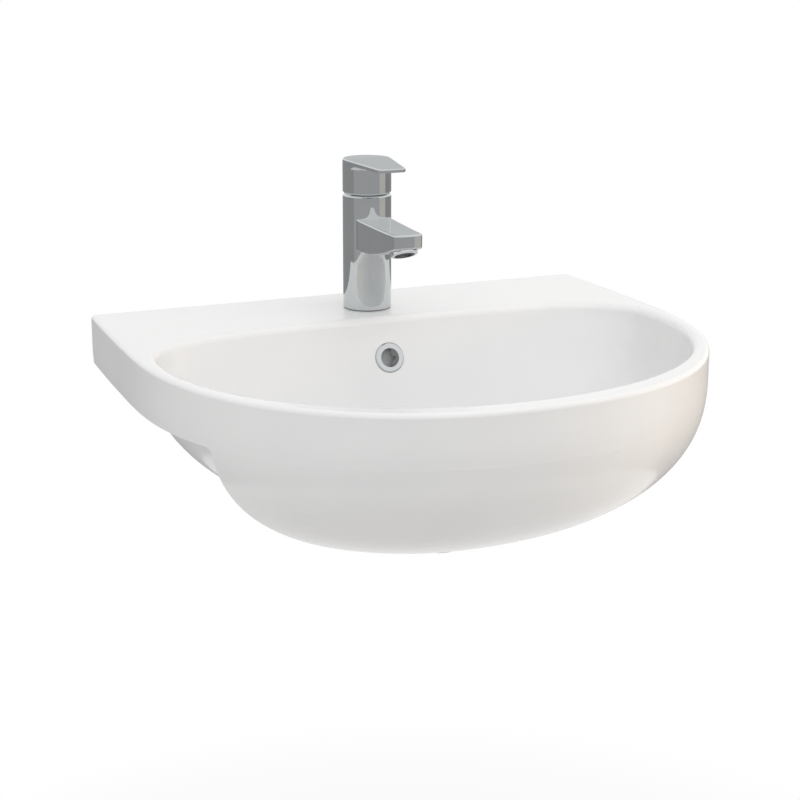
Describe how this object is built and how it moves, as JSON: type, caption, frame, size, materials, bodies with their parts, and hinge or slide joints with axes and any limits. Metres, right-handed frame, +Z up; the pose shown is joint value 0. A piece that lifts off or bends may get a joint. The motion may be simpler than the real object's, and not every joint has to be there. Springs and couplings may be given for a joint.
{
  "type": "semi recessed basin",
  "caption": "Semi recessed ceramic wash basin with a rear tap deck, a bowl that stands out past the worktop, a single lever mixer tap, an overflow and a press-to-open waste.",
  "frame": {"origin": "on the wall face, at the worktop's top plane, in the basin's middle", "axes": "+X to the user's right, +Y into the wall, +Z up"},
  "size_m": [0.5602, 0.473, 0.3565],
  "materials": {
    "china": "gloss white glaze",
    "tap_chrome": "polished",
    "chrome_trim": "polished",
    "waste_metal": "plated, half polished",
    "seal_rubber": "matt black",
    "valve_plastic": "moulded",
    "disc_ceramic": "lapped",
    "brass_nut": "turned",
    "fixing_steel": "turned",
    "cap_plastic": "plated",
    "mesh_plastic": "moulded, dark"
  },
  "bodies": {
    "basin": {"basin_body": "china", "overflow_ring": "chrome_trim", "waste_body": "waste_metal", "waste_top_seal": "seal_rubber", "waste_under_washer": "seal_rubber", "waste_backnut": "waste_metal", "waste_clicker": "valve_plastic", "plug_spring": "fixing_steel", "tap_body": "tap_chrome", "tap_base_gasket": "seal_rubber", "cartridge_base": "valve_plastic", "cartridge_body": "valve_plastic", "cartridge_fixed_disc": "disc_ceramic", "cartridge_nut": "brass_nut", "dome_ring": "tap_chrome", "aerator_housing": "tap_chrome", "aerator_insert": "mesh_plastic", "aerator_washer": "seal_rubber", "tap_stud": "fixing_steel", "tap_rubber_horseshoe": "seal_rubber", "tap_steel_horseshoe": "fixing_steel", "tap_stud_nut": "brass_nut"},
    "turner": {"cartridge_carrier": "valve_plastic", "cartridge_moving_disc": "disc_ceramic"},
    "lever": {"lever_handle": "tap_chrome", "lever_spindle": "fixing_steel", "lever_grub_screw": "fixing_steel", "lever_grub_cap": "cap_plastic"},
    "plug": {"waste_plug": "chrome_trim", "plug_seal": "seal_rubber", "plug_stem": "fixing_steel"}
  },
  "joints": [
    {"name": "mixer_turn", "type": "hinge", "parent": "basin", "child": "turner", "pos_m": [0, -0.069, 0.184], "axis": [0, 0, 1], "range_deg": [-45, 45]},
    {"name": "mixer_lift", "type": "hinge", "parent": "turner", "child": "lever", "pos_m": [0, -0.069, 0.184], "axis": [-1, 0, 0], "range_deg": [0, 20]},
    {"name": "plug_click", "type": "slide", "parent": "basin", "child": "plug", "axis": [0, 0, 1], "range_m": [0, 0.009], "deforming": ["plug_spring"]}
  ]
}
